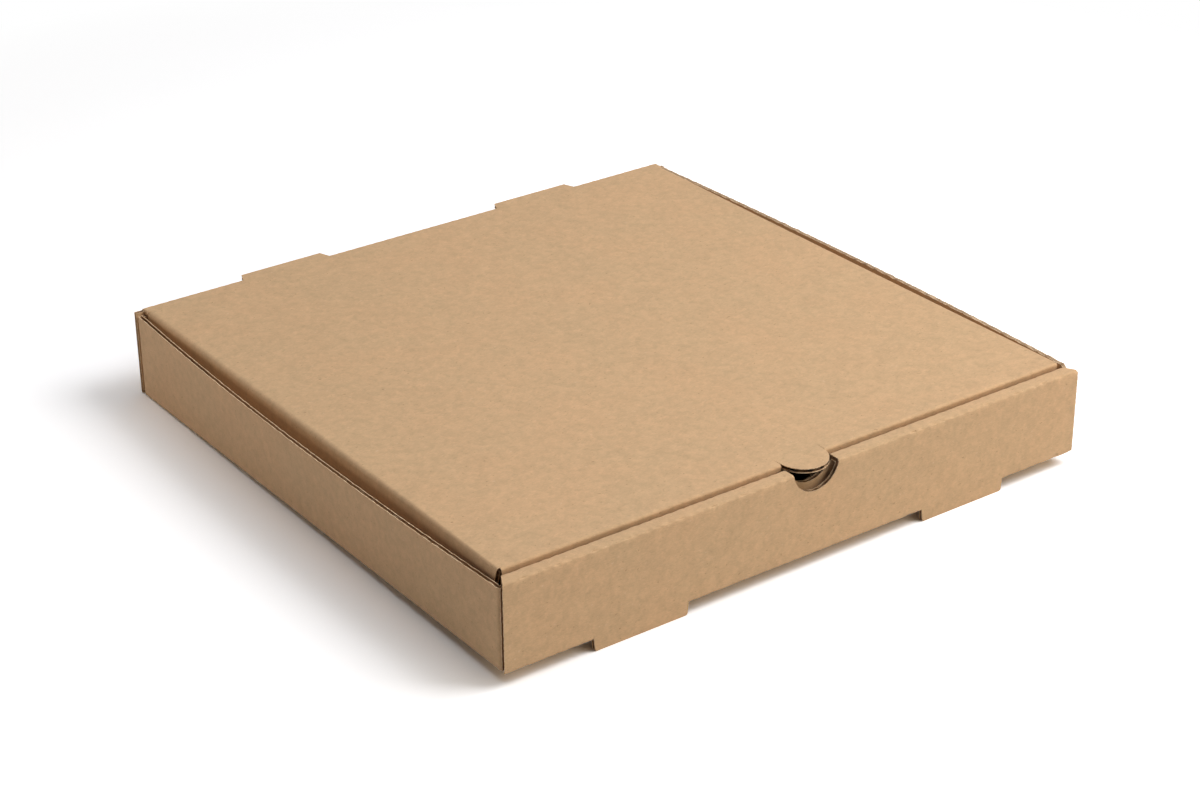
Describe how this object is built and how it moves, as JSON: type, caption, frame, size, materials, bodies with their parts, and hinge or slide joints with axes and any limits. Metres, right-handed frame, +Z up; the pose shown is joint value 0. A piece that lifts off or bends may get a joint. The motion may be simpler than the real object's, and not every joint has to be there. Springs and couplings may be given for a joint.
{
  "type": "pizza box",
  "caption": "Shut corrugated pizza box: low square tray with bowed side walls, rolled front edge and front feet, and a hinged lid with a thumb tongue and rear tabs",
  "frame": {"origin": "below the middle of the box's bounding box, level with the undersides of the front feet", "axes": "+X along the front panel to the right as seen from the front, +Y from the front panel to the hinge at the rear, +Z up"},
  "size_m": [0.3388, 0.3337, 0.0516],
  "materials": {
    "kraft_board": "matte brown kraft liner, faint fibre mottling"
  },
  "bodies": {
    "tray": {"tray": "kraft_board"},
    "lid": {"lid": "kraft_board"}
  },
  "joints": [
    {"name": "lid_hinge", "type": "hinge", "parent": "tray", "child": "lid", "pos_m": [0, 0.16045, 0.0505], "axis": [-1, 0, 0], "range_deg": [0, 180]}
  ]
}
